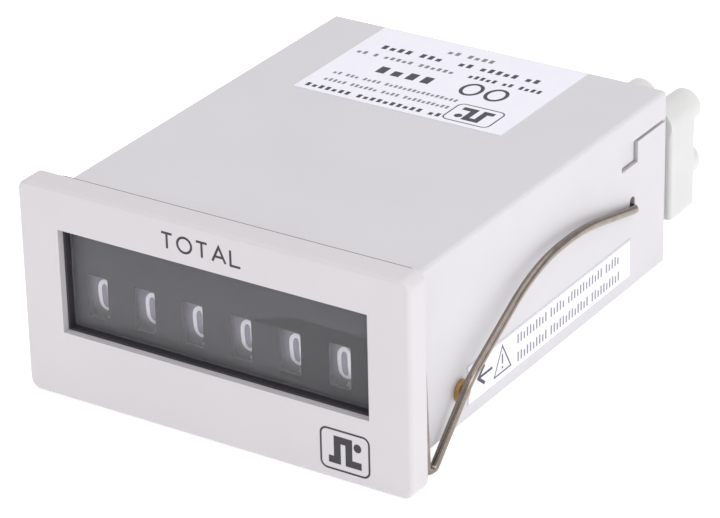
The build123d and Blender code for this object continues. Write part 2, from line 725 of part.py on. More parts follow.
def make_shaft_spacers():
    """Sleeves that fill each shaft between the last hub and the side plates."""
    sleeves = []
    for y, r, inset in ((drum_axis_y, drum_hub_r, 0), (pinion_axis_y, pinion_hub_r, drum_pitch / 2)):
        right = drum_x[0] - inset + hub_half + end_float
        left = drum_x[-1] + inset - hub_half - end_float
        for x0, x1 in ((right, plate_inner), (-plate_inner, left)):
            sleeves.append(rod_x(r, x0, x1, y, 0) - rod_x(shaft_r, x0 - 1, x1 + 1, y, 0))
    return group(sleeves)


# ---------------------------------------------------------------- magnet and drive

def make_yoke():
    """L-shaped soft iron yoke with two ears for the armature's hinge pin."""
    x0 = coil_x - yoke_half_width
    x1 = coil_x + yoke_half_width
    yoke = block(x0, x1, yoke_front_y, yoke_rear_y, base_top_z, yoke_top_z)
    yoke += block(x0, x1, yoke_rear_y - yoke_sheet, yoke_rear_y, base_top_z,
                  hinge_z - hinge_barrel_r - yoke_below_barrel)
    for x in (x0, x1 - ear_thickness):
        yoke += block(x, x + ear_thickness, hinge_y - ear_half, hinge_y + ear_half,
                      hinge_z - ear_root, hinge_z + ear_half)
    yoke -= rod_x(hinge_pin_r, x0 - 1, x1 + 1, hinge_y, hinge_z)
    yoke -= rod_z(core_foot_r, base_top_z - 1, yoke_top_z + 1, coil_x, coil_y)
    for x, y in yoke_screw_places:
        yoke -= rod_z(base_screw_r, base_top_z - 1, yoke_top_z + 1, x, y)
    return yoke


def make_core():
    """Soft iron core, staked into the yoke."""
    core = rod_z(core_r, yoke_top_z, pole_z, coil_x, coil_y)
    return core + rod_z(core_foot_r, base_top_z, (yoke_top_z + pole_z) / 2, coil_x, coil_y)


def make_bobbin():
    """Nylon coil former with square flanges."""
    tube_r = core_r + fit_gap + bobbin_tube
    former = rod_z(tube_r, yoke_top_z, bobbin_top_z, coil_x, coil_y)
    for z in (yoke_top_z, bobbin_top_z - bobbin_flange):
        flange = block(coil_x - bobbin_half, coil_x + bobbin_half,
                       coil_y - bobbin_half, coil_y + bobbin_half, z, z + bobbin_flange)
        former += fillet(flange.edges().filter_by(Axis.Z), bobbin_corner_r)
    return former - rod_z(core_r + fit_gap, yoke_top_z - 1, bobbin_top_z + 1, coil_x, coil_y)


def make_winding():
    """Enamelled copper winding, as one closed ring."""
    z0 = yoke_top_z + bobbin_flange
    z1 = bobbin_top_z - bobbin_flange
    tube_r = core_r + fit_gap + bobbin_tube
    return rod_z(winding_r, z0, z1, coil_x, coil_y) - rod_z(tube_r, z0 - 1, z1 + 1, coil_x, coil_y)


def make_armature():
    """Hinged iron plate over the pole, with a cross arm for the fork and the spring."""
    ear_x = yoke_half_width - ear_thickness - ear_gap
    half = bobbin_half - armature_inset
    neck_y = hinge_y - ear_half - armature_neck
    plate = block(coil_x - half, coil_x + half, armature_front_y, hinge_y - ear_half - armature_ear_gap,
                  armature_low_z, armature_top_z)
    plate += block(coil_x, fork_x + fork_width / 2, armature_front_y, armature_arm_y,
                   armature_low_z, armature_top_z)
    plate += block(coil_x - ear_x, coil_x + ear_x, neck_y, hinge_y, armature_low_z, armature_top_z)
    plate += rod_x(hinge_barrel_r, coil_x - ear_x, coil_x + ear_x, hinge_y, hinge_z)
    plate -= rod_x(hinge_pin_r + hinge_gap, coil_x - ear_x - 1, coil_x + ear_x + 1, hinge_y, hinge_z)
    for x, y in rivet_places:
        plate -= rod_z(rivet_r, armature_low_z - 1, armature_top_z + 1, x, y)
    return plate


def make_armature_pin():
    """Steel hinge pin through the yoke's ears."""
    half = yoke_half_width + hinge_pin_end
    pin = rod_x(hinge_pin_r, coil_x - half, coil_x + half, hinge_y, hinge_z)
    return chamfer(pin.edges(), hinge_pin_chamfer)


def make_drive_fork():
    """Nylon fork round the ratchet wheel, with one pallet above it and one below."""
    upper = ratchet_tip_r + fork_drop + fork_clear
    lower = -ratchet_tip_r - fork_clear
    window_front = drum_axis_y + ratchet_tip_r + fork_window_gap
    window_top = armature_top_z - fork_window_gap / 2
    stem_rear = pinion_axis_y - pinion_hub_r - fork_hub_gap
    pallet_front = drum_axis_y - pallet_half
    pallet_rear = drum_axis_y + pallet_half
    pallet_root = pallet_rear + pallet_slope
    foot_z = lower - pallet_depth
    points = [
        (armature_arm_y, armature_top_z), (armature_arm_y, fork_top_z),
        (pallet_front, fork_top_z), (pallet_front, upper), (pallet_rear, upper),
        (pallet_root, window_top), (window_front, window_top),
        (window_front, lower - pallet_slope), (pallet_root, lower - pallet_slope), (pallet_rear, lower),
        (pallet_front, lower), (pallet_front, foot_z), (stem_rear, foot_z),
        (stem_rear, armature_top_z),
    ]
    fork = plate_yz(points, fork_x - fork_width / 2, fork_x + fork_width / 2)
    fork += block(fork_x - fork_pad, fork_x + fork_width / 2,
                  armature_front_y + fork_pad_inset, armature_arm_y - fork_pad_inset,
                  armature_top_z, armature_top_z + fork_width)
    for x, y in rivet_places:
        fork -= rod_z(rivet_r, armature_top_z - 1, armature_top_z + 2, x, y)
    return fork


def make_rivets():
    """Two rivets that hold the fork on the armature, flush below."""
    rivets = []
    for x, y in rivet_places:
        seat = armature_top_z + fork_width
        rivet = rod_z(rivet_r, armature_low_z, seat, x, y)
        rivet += rod_z(rivet_head_r, seat, seat + rivet_head, x, y)
        rivets.append(rivet)
    return group(rivets)


def make_spring_post():
    """Turned brass post on the frame's base that guides the return spring."""
    tip_r = spring_r - spring_wire - spring_post_gap
    post = rod_z(spring_r + spring_post_rim, base_top_z, spring_foot_z, spring_x, spring_y)
    return post + rod_z(tip_r, base_top_z, spring_foot_z + spring_post_tip, spring_x, spring_y)


def make_return_spring():
    """Compression spring that lifts the armature back against its stop."""
    low = spring_foot_z + spring_wire / 2
    high = armature_low_z - spring_wire / 2
    pitch = (high - low) / spring_turns
    path = Pos(spring_x, spring_y, low) * Helix(pitch, high - low, spring_r - spring_wire / 2)
    start = Plane(origin=path @ 0, z_dir=path % 0)
    return sweep(start * Circle(spring_wire / 2), path=path, is_frenet=True)


def make_yoke_screws():
    """Two screws from the yoke into the frame's base."""
    screws = []
    for x, y in yoke_screw_places:
        top = yoke_top_z + yoke_screw_head
        screw = rod_z(base_screw_r, frame_bottom_z, yoke_top_z, x, y)
        screw += rod_z(base_screw_r + base_screw_rim, yoke_top_z, top, x, y)
        screw -= block(x - 2, x + 2, y - slot_width / 2, y + slot_width / 2, top - slot_depth, top + 1)
        screws.append(screw)
    return group(screws)


# ---------------------------------------------------------------- rectifier board

def make_board():
    """Glass-fibre board for the parts that feed the coil."""
    board = block(board_x0, board_x1, board_y0, board_y1, board_z, board_top_z)
    for x, y in pillar_places:
        board -= rod_z(base_screw_r, board_z - 1, board_top_z + 1, x, y)
    return board


def make_pillars():
    """Four snap-in nylon pillars under the board."""
    pillars = []
    for x, y in pillar_places:
        pillar = rod_z(base_screw_r, frame_bottom_z, board_top_z + pillar_head, x, y)
        pillars.append(pillar + rod_z(base_screw_r + base_screw_rim, base_top_z, board_z, x, y))
    return group(pillars)


def make_rectifier():
    """Bridge rectifier in a moulded block with four legs."""
    width, length, height = rectifier_size
    x0 = board_x0 + rectifier_place[0]
    y0 = board_y1 - rectifier_place[1]
    low = board_top_z + rectifier_leg
    body = block(x0, x0 + width, y0, y0 + length, low, low + height)
    body = chamfer(body.edges().filter_by(Axis.Z), 0.4)
    inset_x, inset_y = rectifier_legs
    half = rectifier_leg / 2
    for x in (x0 + inset_x, x0 + width - inset_x):
        for y in (y0 + inset_y, y0 + length - inset_y):
            body += block(x - half, x + half, y - half, y + half, board_top_z, low + half)
    return body


def make_capacitor():
    """Radial electrolytic capacitor, standing on the board."""
    x = board_x0 + capacitor_place[0]
    y = board_y0 + capacitor_place[1]
    can = rod_z(capacitor_r, board_top_z, board_top_z + capacitor_height, x, y)
    return fillet(can.edges().sort_by(Axis.Z)[-1], capacitor_round)


def make_resistor():
    """Axial power resistor that drops the supply voltage, with its bent legs."""
    x = board_x1 - resistor_place[0]
    y = board_y0 + resistor_place[1]
    z = board_top_z + resistor_place[2]
    body = fillet(rod_y(resistor_r, y - resistor_half, y + resistor_half, x, z).edges(), resistor_round)
    for side in (-1, 1):
        leg_y = y + side * resistor_leg_at
        near, far = sorted((y + side * (resistor_half - 0.1), leg_y + side * resistor_leg_r))
        body += rod_y(resistor_leg_r, near, far, x, z)
        body += rod_z(resistor_leg_r, board_top_z, z + resistor_leg_r, x, leg_y)
    return body


def lead(points, r, bend):
    """Insulated lead: straight runs joined by arcs."""
    path = FilletPolyline(*points, radius=bend)
    return sweep(Plane(origin=points[0], z_dir=path % 0) * Circle(r), path=path)


def make_coil_leads():
    """Two leads from the winding's start and end to the board."""
    leads = []
    for from_coil in coil_lead_from_coil:
        # the lead's end stands off the round winding by the nearer side of its own width
        near = abs(from_coil) - coil_lead_r
        y = coil_y + from_coil
        start = (coil_x - math.sqrt((winding_r + 0.05) ** 2 - near ** 2), y, coil_lead_z)
        edge_x = board_x1 - lead_pad
        points = [start, (edge_x, y, coil_lead_z), (edge_x, y, board_top_z)]
        leads.append(lead(points, coil_lead_r, coil_lead_bend))
    return group(leads)


def make_terminal_leads():
    """Two leads from the terminal tails to the board."""
    leads = []
    pad_y = board_y1 - lead_pad
    for x, (back, inset) in zip(pole_xs, supply_lead_runs):
        run_y = tail_front_y - back
        end_x = board_x1 - inset
        points = [(x, tail_front_y, tail_z), (x, run_y, tail_z), (end_x, run_y, tail_z),
                  (end_x, pad_y, tail_z), (end_x, pad_y, board_top_z)]
        leads.append(lead(points, supply_lead_r, supply_lead_bend))
    return group(leads)


# ---------------------------------------------------------------- build

save("bezel", make_bezel())
save("mask", make_mask())
save("window_lens", make_lens())
save("housing", make_housing())
save("rear_cover", make_rear_cover())
save("terminal_block", make_terminal_block())
save("terminal_barrels", make_terminal_barrels())
save("terminal_screws", make_terminal_screws())
save("terminal_fixing_screw", make_fixing_screw())
save("spring_clip", make_spring_clip())
save("locking_pin", make_locking_pin())
save("rating_label", make_rating_label())
save("side_label", make_side_label())
save("mechanism_frame", make_frame())
for k, name in enumerate(drum_names):
    save(name, make_drum(k))
save("ratchet_wheel", make_ratchet_wheel())
for g in range(drum_count - 1):
    save(f"carry_pinion_{g + 1}", make_pinion(g))
save("drum_shaft", make_shaft(drum_axis_y))
save("pinion_shaft", make_shaft(pinion_axis_y))
save("shaft_clips", make_shaft_clips())
save("shaft_spacers", make_shaft_spacers())
save("yoke", make_yoke())
save("core", make_core())
save("bobbin", make_bobbin())
save("coil_winding", make_winding())
save("armature", make_armature())
save("armature_pin", make_armature_pin())
save("drive_fork", make_drive_fork())
save("fork_rivets", make_rivets())
save("spring_post", make_spring_post())
save("return_spring", make_return_spring())
save("yoke_screws", make_yoke_screws())
save("circuit_board", make_board())
save("board_pillars", make_pillars())
save("bridge_rectifier", make_rectifier())
save("capacitor", make_capacitor())
save("dropper_resistor", make_resistor())
save("coil_leads", make_coil_leads())
save("terminal_leads", make_terminal_leads())
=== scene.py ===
# %% [markdown]
# # A panel counter with number drums
#
# The object is a small electromechanical counter, the kind that is pushed through a
# rectangular hole in a control panel. A white bezel frames a black window with six
# number drums, a moulded housing runs back to a terminal block, and a bent wire clip
# holds the whole thing in its panel. The shapes are a finished CAD model, so this
# notebook only dresses it: finishes for every part, the numerals on the drums, the
# print on the bezel and the stickers, and a quiet studio around it.

import json
import math

import bmesh
import bpy
from mathutils import Matrix, Vector


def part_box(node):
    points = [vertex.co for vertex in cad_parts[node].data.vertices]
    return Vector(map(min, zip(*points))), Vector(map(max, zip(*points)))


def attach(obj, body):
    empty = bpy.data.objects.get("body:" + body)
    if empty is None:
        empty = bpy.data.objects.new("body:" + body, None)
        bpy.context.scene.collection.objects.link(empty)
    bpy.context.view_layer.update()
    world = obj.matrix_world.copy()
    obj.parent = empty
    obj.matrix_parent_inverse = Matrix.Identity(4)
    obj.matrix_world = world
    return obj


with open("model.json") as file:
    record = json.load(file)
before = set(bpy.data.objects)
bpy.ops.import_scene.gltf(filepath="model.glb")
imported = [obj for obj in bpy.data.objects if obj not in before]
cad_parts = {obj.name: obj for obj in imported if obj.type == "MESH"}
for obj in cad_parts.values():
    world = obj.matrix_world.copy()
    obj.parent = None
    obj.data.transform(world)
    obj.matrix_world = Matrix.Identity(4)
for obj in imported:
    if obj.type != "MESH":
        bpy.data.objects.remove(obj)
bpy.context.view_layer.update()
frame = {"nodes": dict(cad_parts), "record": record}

MM = 0.001
nodes = frame["nodes"]

# %% [markdown]
# ## Where things are
#
# Every place below comes from the boxes of the CAD nodes. The number drums share one
# axle that runs left to right, so the middle of a drum's box is a point of that axle.

# %% Measure the parts that carry print
bezel_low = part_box("bezel")[0]
drum_low, drum_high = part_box("units_drum")
rating_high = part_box("rating_label")[1]
side_low, side_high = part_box("side_label")
housing_low, housing_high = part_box("housing")

drum_radius = (drum_high.z - drum_low.z) / 2
axle_y = (drum_low.y + drum_high.y) / 2
print("drum radius", round(drum_radius / MM, 2), "mm, axle at y", round(axle_y / MM, 2), "mm")

# %% [markdown]
# ## Two small helpers for materials
#
# Screens mix colours in sRGB and the renderer mixes light, so each hex colour is turned
# linear once, by one function. The second helper adds one shader node, sets its own
# options, and fills its sockets with values or with links.

# %% Colour and node helpers
def linear(hex_colour):
    """sRGB hex to the linear colour that Blender's shaders expect."""
    parts = [int(hex_colour[i:i + 2], 16) / 255 for i in (1, 3, 5)]
    bent = [c / 12.92 if c <= 0.04045 else ((c + 0.055) / 1.055) ** 2.4 for c in parts]
    return (*bent, 1.0)


def add(tree, kind, inputs=None, **options):
    """Adds a node; inputs maps a socket to a value or to another node's output."""
    made = tree.nodes.new(kind)
    for name, value in options.items():
        setattr(made, name, value)
    for name, value in (inputs or {}).items():
        if isinstance(value, bpy.types.NodeSocket):
            tree.links.new(value, made.inputs[name])
        else:
            made.inputs[name].default_value = value
    return made


def new_material(name):
    """An empty material with no nodes yet, and the tree to build in."""
    material = bpy.data.materials.new(name)
    material.use_nodes = True
    material.node_tree.nodes.clear()
    return material, material.node_tree


def finish_material(tree, shader):
    add(tree, "ShaderNodeOutputMaterial", {"Surface": shader.outputs[0]})


def per_metre(size_mm):
    """The Scale of a noise whose blotches are this many millimetres across."""
    return 1.0 / (size_mm * MM)


# %% [markdown]
# ## Moulded plastics
#
# A moulded part copies its steel mould. A spark-eroded mould leaves a fine even grain
# that breaks up reflections, the melt flow leaves very faint cloudy tone, and handling
# polishes some patches a little more than others. So a plastic here has three layers
# of noise: clouds that shift the colour between two close tones, patches that shift
# the roughness, and a grain that tilts the surface. Real spark grain is about
# 0.05 mm, too fine to show, so it is drawn two to four times coarser.

# %% A function for moulded plastics
noise_low, noise_high = 0.3, 0.7       # a noise node seldom goes beyond these
plastic_gloss_swing = 0.05


def moulded(name, light, dark, roughness, grain_mm=0.18, grain_um=2.0, cloud_mm=14.0,
            ior=1.53, subsurface=0.0, specular=0.5):
    """A moulded plastic with faint clouds of tone, uneven gloss and a fine mould grain."""
    material, tree = new_material(name)
    place = add(tree, "ShaderNodeTexCoord").outputs["Object"]
    clouds = add(tree, "ShaderNodeTexNoise",
                 {"Vector": place, "Scale": per_metre(cloud_mm), "Detail": 3.0})
    tone = add(tree, "ShaderNodeMix", {"Factor": clouds.outputs["Fac"]},
               data_type="RGBA")
    tone.inputs["A"].default_value = linear(light)
    tone.inputs["B"].default_value = linear(dark)
    patches = add(tree, "ShaderNodeTexNoise",
                  {"Vector": place, "Scale": per_metre(cloud_mm / 3), "Detail": 4.0})
    gloss = add(tree, "ShaderNodeMapRange",
                {"Value": patches.outputs["Fac"], "From Min": noise_low, "From Max": noise_high,
                 "To Min": roughness - plastic_gloss_swing,
                 "To Max": roughness + plastic_gloss_swing})
    grain = add(tree, "ShaderNodeTexNoise",
                {"Vector": place, "Scale": per_metre(grain_mm), "Detail": 2.0})
    relief = add(tree, "ShaderNodeBump",
                 {"Height": grain.outputs["Fac"], "Strength": 0.6,
                  "Distance": grain_um * MM * MM})
    shader = add(tree, "ShaderNodeBsdfPrincipled",
                 {"Base Color": tone.outputs["Result"], "Roughness": gloss.outputs["Result"],
                  "Normal": relief.outputs["Normal"], "IOR": ior,
                  "Specular IOR Level": specular})
    if subsurface:
        shader.inputs["Subsurface Weight"].default_value = subsurface
        shader.inputs["Subsurface Radius"].default_value = (1.0, 0.95, 0.85)
        shader.inputs["Subsurface Scale"].default_value = 1.2 * MM
    finish_material(tree, shader)
    return material


# %% [markdown]
# ## The white shell: ABS
#
# Bezel and housing are moulded ABS in a cool light grey-white. ABS is satin, with an
# IOR near 1.53. The bezel's mould is a little smoother than the housing's, because it
# is the face that people look at, and the housing comes out a trace paler.

# %% White ABS of the bezel and the housing
bezel_abs = moulded("moulded_white_abs", "#CFCCCE", "#C9C6C8", 0.42, grain_mm=0.22)
housing_abs = moulded("moulded_housing_abs", "#CFCDD0", "#C9C7CA", 0.46, grain_mm=0.26)
print("shell:", bezel_abs.name, housing_abs.name)

# %% [markdown]
# ## The black mask and the drums
#
# The mask is black ABS with a matt grain that keeps lamps from glaring in the window.
# The drums are acetal, a slippery plastic that needs no oil on its axle. It is filled
# grey, and its skin has a soft waxy sheen.

# %% Dark plastics
mask_abs = moulded("moulded_black_abs", "#36333A", "#302E34", 0.5, grain_mm=0.2,
                   grain_um=3.0)
drum_acetal = moulded("moulded_grey_acetal", "#8A8294", "#82798C", 0.42, ior=1.48,
                      cloud_mm=4.0)
epoxy = moulded("moulded_black_epoxy", "#2A2A2C", "#202022", 0.5, grain_um=3.0,
                cloud_mm=3.0, ior=1.55)
sleeve = moulded("shrunk_pvc_sleeve", "#26305A", "#1F284C", 0.3, cloud_mm=3.0)
lead_pvc = moulded("extruded_red_pvc", "#A8251F", "#96201B", 0.35, cloud_mm=2.0)
enamel = moulded("dipped_green_enamel", "#6F8F7C", "#62826F", 0.3, cloud_mm=1.5,
                 grain_um=4.0)
print("dark parts:", mask_abs.name, drum_acetal.name, epoxy.name)

# %% [markdown]
# ## Natural nylon
#
# The terminal block is uncoloured nylon. It is not a white pigment but a milky
# plastic that light enters and leaves again a millimetre away, so it looks soft and
# has hardly any dark side. Subsurface scattering gives that. The pinions, ratchet,
# bobbin and fork inside are the same plastic.

# %% Natural nylon
nylon = moulded("moulded_natural_nylon", "#D2D3D1", "#C8C9C7", 0.4, cloud_mm=5.0,
                subsurface=0.5)
print("terminal block:", nylon.name)

# %% [markdown]
# ## Clear acrylic
#
# The window is a thin pane of acrylic, IOR 1.49. Seen at a slant it mirrors some of
# the studio, which lays a grey veil over the black mask behind it. A pane this thin
# bends nothing that the eye could tell, so it is a see-through surface with a
# reflection on top. That also lets the lamps light the drums. The share that is
# mirrored grows with the slant by Schlick's rule, as the fifth power of how far the
# surface faces away. It starts from about 1% head on, as with an anti-glare film, where
# bare acrylic mirrors 4%. A plain Fresnel node would treat the pane's back face as the
# inside of solid glass and turn it into a mirror.

# %% Clear acrylic pane
film_share = 0.009                     # mirrored head on


def acrylic_pane():
    """A thin clear pane: nearly transparent, with a slanting gloss and faint wipe marks."""
    material, tree = new_material("polished_clear_acrylic")
    place = add(tree, "ShaderNodeTexCoord").outputs["Object"]
    wipes = add(tree, "ShaderNodeTexNoise",
                {"Vector": place, "Scale": per_metre(6.0), "Detail": 5.0})
    haze = add(tree, "ShaderNodeMapRange",
               {"Value": wipes.outputs["Fac"], "To Min": 0.05, "To Max": 0.14})
    shader = add(tree, "ShaderNodeBsdfPrincipled",
                 {"Base Color": linear("#EEF0F2"), "Roughness": haze.outputs["Result"],
                  "IOR": 1.49, "Alpha": 0.06})
    gloss = add(tree, "ShaderNodeBsdfGlossy",
                {"Color": linear("#FFFFFF"), "Roughness": haze.outputs["Result"]})
    slant = add(tree, "ShaderNodeLayerWeight", {"Blend": 0.5}).outputs["Facing"]
    fifth = add(tree, "ShaderNodeMath", {0: slant, 1: 5.0}, operation="POWER")
    share = add(tree, "ShaderNodeMapRange",
                {"Value": fifth.outputs["Value"], "To Min": film_share, "To Max": 1.0})
    both = add(tree, "ShaderNodeMixShader", {0: share.outputs["Result"],
                                             1: shader.outputs[0], 2: gloss.outputs[0]})
    finish_material(tree, both)
    return material


clear_acrylic = acrylic_pane()
print("window:", clear_acrylic.name)

# %% [markdown]
# ## Metals
#
# A metal has no colour of its own under its shine: what is tinted is the reflection.
# All of them share one recipe: a cloudy tint from slight oxidation, uneven gloss, and
# fine marks from how the part was made. Drawn wire has scratches along its length,
# turned brass has rings, and zinc plate has a fine crystalline sparkle.

# %% A function for metals
metal_gloss_swing = 0.07


def metal(name, light, dark, roughness, mark_mm, stretch=(1.0, 1.0, 1.0), mark_um=3.0,
          cloud_mm=3.0):
    """A metal with oxide clouds, uneven gloss, and tool marks stretched along one way."""
    material, tree = new_material(name)
    place = add(tree, "ShaderNodeTexCoord").outputs["Object"]
    clouds = add(tree, "ShaderNodeTexNoise",
                 {"Vector": place, "Scale": per_metre(cloud_mm), "Detail": 4.0})
    tone = add(tree, "ShaderNodeMix", {"Factor": clouds.outputs["Fac"]},
               data_type="RGBA")
    tone.inputs["A"].default_value = linear(light)
    tone.inputs["B"].default_value = linear(dark)
    along = add(tree, "ShaderNodeMapping", {"Vector": place, "Scale": stretch})
    marks = add(tree, "ShaderNodeTexNoise",
                {"Vector": along.outputs["Vector"], "Scale": per_metre(mark_mm),
                 "Detail": 3.0})
    gloss = add(tree, "ShaderNodeMapRange",
                {"Value": marks.outputs["Fac"], "From Min": noise_low, "From Max": noise_high,
                 "To Min": roughness - metal_gloss_swing,
                 "To Max": roughness + metal_gloss_swing})
    relief = add(tree, "ShaderNodeBump",
                 {"Height": marks.outputs["Fac"], "Strength": 0.5,
                  "Distance": mark_um * MM * MM})
    shader = add(tree, "ShaderNodeBsdfPrincipled",
                 {"Base Color": tone.outputs["Result"], "Roughness": gloss.outputs["Result"],
                  "Normal": relief.outputs["Normal"], "Metallic": 1.0})
    finish_material(tree, shader)
    return material


# %% [markdown]
# ## Four metals
#
# The clip is drawn spring wire with a dull nickel plate, so its marks run along the
# wire. The locking pin and the terminals are turned brass. Screws, shafts and sheet
# are zinc plated steel, and the magnet's core, yoke and armature are bare soft iron.
# One recipe with four sets of values keeps them a family.

# %% The metals of the counter
wire_nickel = metal("drawn_nickel_plated_wire", "#A0968E", "#766C65", 0.2, 0.5,
                    stretch=(1.0, 0.35, 0.6), cloud_mm=1.6)
brass = metal("turned_brass", "#D3AC78", "#B58C5A", 0.32, 0.3)
zinc = metal("zinc_plated_steel", "#C4C6C8", "#A9ABAE", 0.35, 0.25)
iron = metal("machined_soft_iron", "#9A9A9B", "#7F7F80", 0.4, 0.4,
             stretch=(0.2, 1.0, 1.0))
print("metals:", wire_nickel.name, brass.name, zinc.name, iron.name)

# %% [markdown]
# ## The winding
#
# The coil is enamelled copper wire laid in tight turns up the bobbin. Modelling every
# turn would cost much and show nothing, so bands on a smooth body stand for them: a
# relief, and darker copper in the grooves between the turns, which is painted shade.
# The turns are about 0.1 mm apart, drawn at 0.3 mm so that they show. A clear coat
# over the copper stands for the enamel.

# %% Wound copper
turn_mm = 0.3
wave_period = 2 * math.pi / 20         # of a Wave texture at Scale 1


def wound_copper():
    material, tree = new_material("enamelled_copper_winding")
    place = add(tree, "ShaderNodeTexCoord").outputs["Object"]
    turn_relief_and_shade = add(tree, "ShaderNodeTexWave",
                {"Vector": place, "Scale": wave_period / (turn_mm * MM), "Distortion": 0.4, "Detail": 1.0},
                bands_direction="Z")
    # painted shade: the darker copper colour falls in the grooves between the turns, the lighter on their
    # crowns
    tone = add(tree, "ShaderNodeMix", {"Factor": turn_relief_and_shade.outputs["Fac"]}, data_type="RGBA")
    tone.inputs["A"].default_value = linear("#7E3B1C")
    tone.inputs["B"].default_value = linear("#C06A38")
    relief = add(tree, "ShaderNodeBump",
                 {"Height": turn_relief_and_shade.outputs["Fac"], "Strength": 0.8, "Distance": 0.05 * MM})
    shader = add(tree, "ShaderNodeBsdfPrincipled",
                 {"Base Color": tone.outputs["Result"], "Roughness": 0.3, "Metallic": 1.0,
                  "Normal": relief.outputs["Normal"], "Coat Weight": 0.6,
                  "Coat Roughness": 0.15})
    finish_material(tree, shader)
    return material


copper = wound_copper()
print("coil:", copper.name)

# %% [markdown]
# ## The circuit board
#
# The board is glass cloth under green lacquer, so the weave makes a faint grid. A
# checker pattern, used only as relief, gives that grid without painting squares.

# %% Lacquered board
def lacquered_board():
    material, tree = new_material("green_lacquered_glass_board")
    place = add(tree, "ShaderNodeTexCoord").outputs["Object"]
    weave = add(tree, "ShaderNodeTexChecker", {"Vector": place, "Scale": per_metre(0.8)})
    clouds = add(tree, "ShaderNodeTexNoise",
                 {"Vector": place, "Scale": per_metre(2.5), "Detail": 3.0})
    tone = add(tree, "ShaderNodeMix", {"Factor": clouds.outputs["Fac"]}, data_type="RGBA")
    tone.inputs["A"].default_value = linear("#1F5A34")
    tone.inputs["B"].default_value = linear("#2B7144")
    relief = add(tree, "ShaderNodeBump",
                 {"Height": weave.outputs["Fac"], "Strength": 0.3, "Distance": 0.02 * MM})
    shader = add(tree, "ShaderNodeBsdfPrincipled",
                 {"Base Color": tone.outputs["Result"], "Roughness": 0.25, "IOR": 1.55,
                  "Normal": relief.outputs["Normal"]})
    finish_material(tree, shader)
    return material


board_green = lacquered_board()
print("board:", board_green.name)

# %% [markdown]
# ## Paper and inks
#
# Sticker paper is smooth and bluish white, with a fibre structure that only shows as a
# slight unevenness. Screen and pad printing inks are pigment in a resin, so the recipe
# for plastics fits them all, with a finer grain. Small print carries less ink on the
# paper than bold print, which makes it greyer.

# %% Sticker paper and printing inks
sticker_paper = moulded("coated_sticker_paper", "#EAEAF2", "#E4E4EC", 0.5, grain_mm=0.3,
                        grain_um=1.0, cloud_mm=3.0, ior=1.45)
screen_ink = moulded("screen_printed_ink", "#38343B", "#302D33", 0.5, grain_mm=0.15,
                     cloud_mm=1.0, ior=1.45)
sticker_ink = moulded("sticker_ink", "#4A464E", "#403C44", 0.55, grain_mm=0.15,
                      cloud_mm=1.0, ior=1.45)
fine_ink = moulded("fine_grey_ink", "#87858A", "#7C7A80", 0.55, grain_mm=0.15,
                   cloud_mm=1.0, ior=1.45)
numeral_ink = moulded("white_numeral_ink", "#EEF0F4", "#E4E6EC", 0.45, grain_mm=0.15,
                      cloud_mm=1.0, ior=1.45)
print("inks:", screen_ink.name, sticker_ink.name, fine_ink.name, numeral_ink.name)

# %% [markdown]
# ## A finish for every CAD node
#
# The record lists each node with the slot it takes its finish from, so one table of
# slot to material dresses the whole model. A slot with no entry would stop the script,
# which is better than a part that stays grey unnoticed.

# %% Assign the finishes
finish_of_slot = {
    "white_abs": bezel_abs, "white_housing": housing_abs, "black_abs": mask_abs,
    "clear_acrylic": clear_acrylic, "natural_nylon": nylon, "brass": brass,
    "nickel_wire": wire_nickel, "zinc_steel": zinc, "soft_iron": iron,
    "copper_wire": copper, "drum_acetal": drum_acetal, "sticker_paper": sticker_paper,
    "board_glass": board_green, "sleeve_pvc": sleeve, "epoxy": epoxy,
    "resistor_enamel": enamel, "pvc_lead": lead_pvc,
}
for part in frame["record"]["subparts"]:
    mesh = nodes[part["node"]].data
    mesh.materials.clear()
    mesh.materials.append(finish_of_slot[part["material_slot"]])

# %% [markdown]
# ## Drawing with a pen
#
# Numerals and print are thin layers of ink, a few hundredths of a millimetre thick.
# A font's outline would have to be squeezed to the narrow upright numerals of a
# counter, and its strokes would come out uneven. So each sign is drawn the way an
# engraver does it: a pen of one width follows lines and arcs. `ribbon` turns one pen
# stroke into a flat strip with mitred corners, and the strips of one sign lie a
# hair's breadth above each other, so that no two faces share a plane.

# %% Pen strokes
sharpest_mitre = 0.4                   # keeps the mitre of a sharp corner short


def arc(cx, cy, rx, ry, start, end, steps=14):
    """Points on an ellipse, angles in degrees from the right, anticlockwise."""
    angles = [math.radians(start + (end - start) * i / steps) for i in range(steps + 1)]
    return [(cx + rx * math.cos(a), cy + ry * math.sin(a)) for a in angles]


def ellipse(cx, cy, rx, ry):
    """A closed ellipse of 24 points."""
    return arc(cx, cy, rx, ry, 0, 345, 23)


def ribbon(points, width, closed=False):
    """Left and right edges of a pen stroke, with mitred corners."""
    count = len(points)
    line = [Vector(p) for p in points]
    left, right = [], []
    for i, here in enumerate(line):
        before = line[(i - 1) % count] if closed or i else here
        after = line[(i + 1) % count] if closed or i < count - 1 else here
        d_in = (here - before).normalized() if before != here else None
        d_out = (after - here).normalized() if after != here else None
        d_in, d_out = d_in or d_out, d_out or d_in
        side = Vector((-(d_in + d_out).y, (d_in + d_out).x)).normalized()
        reach = width / 2 / max(sharpest_mitre, side.dot(Vector((-d_in.y, d_in.x))))
        left.append(here + side * reach)
        right.append(here - side * reach)
    return left, right


def lay_ribbon(bm, stroke, width, to_space, low, high, closed=False):
    """Adds one stroke as a closed thin solid; to_space maps (x, y, height) to metres."""
    left, right = ribbon(stroke, width, closed)
    rings = [[bm.verts.new(to_space(p.x, p.y, h)) for p, h in
              ((a, high), (b, high), (b, low), (a, low))] for a, b in zip(left, right)]
    pairs = list(zip(rings, rings[1:]))
    if closed:
        pairs.append((rings[-1], rings[0]))
    for one, two in pairs:
        for k in range(4):
            bm.faces.new((one[k], two[k], two[(k + 1) % 4], one[(k + 1) % 4]))
    if not closed:
        bm.faces.new(reversed(rings[0]))
        bm.faces.new(rings[-1])


